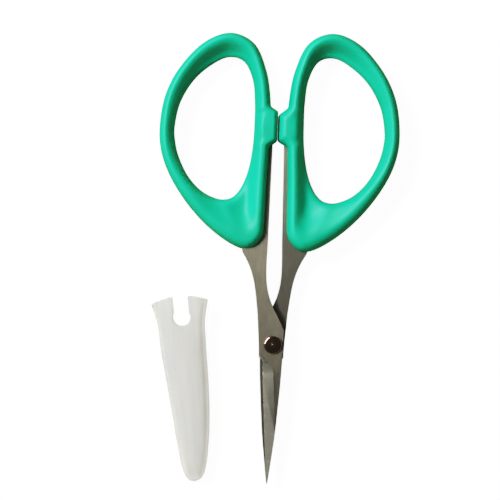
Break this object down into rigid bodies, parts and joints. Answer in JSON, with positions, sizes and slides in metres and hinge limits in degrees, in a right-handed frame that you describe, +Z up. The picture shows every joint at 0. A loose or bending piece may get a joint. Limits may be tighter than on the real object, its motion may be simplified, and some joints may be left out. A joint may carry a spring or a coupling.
{
  "type": "thread snips",
  "caption": "Small embroidery scissors with slim pointed blades on a button-headed pivot, green moulded finger bows with stops, and a soft slip-on blade sheath beside them.",
  "frame": {"origin": "middle of the whole object's plan, on the plane that the snips and the sheath lie on", "axes": "+Y along the snips from the tips towards the finger bows, +Z up from the surface, +X to the right as seen from above"},
  "size_m": [0.0554, 0.1033, 0.0073],
  "materials": {
    "front_steel": "brushed along the shank and ground on the blade",
    "rear_steel": "brushed along the shank and ground on the blade",
    "bow_plastic": "smooth satin-gloss moulded plastic, teal green",
    "pivot_chrome": "polished low button head",
    "screw_steel": "turned steel",
    "washer_brass": "plain sheet",
    "sheath_vinyl": "milky translucent vinyl, soft satin"
  },
  "bodies": {
    "rear_half": {"rear_blade": "rear_steel", "right_bow": "bow_plastic", "pivot_post": "pivot_chrome", "pivot_screw": "screw_steel", "pivot_washer": "washer_brass"},
    "front_half": {"front_blade": "front_steel", "left_bow": "bow_plastic"},
    "loose_sheath": {"sheath": "sheath_vinyl"}
  },
  "joints": [
    {"name": "blade_pivot", "type": "hinge", "parent": "rear_half", "child": "front_half", "pos_m": [0.0003, -0.0197, 0.0036], "axis": [0, 0, 1], "range_deg": [0, 37]},
    {"name": "sheath_slide", "type": "slide", "parent": "rear_half", "child": "loose_sheath", "axis": [0.1184, -0.993, 0], "range_m": [0, 0.05]}
  ]
}
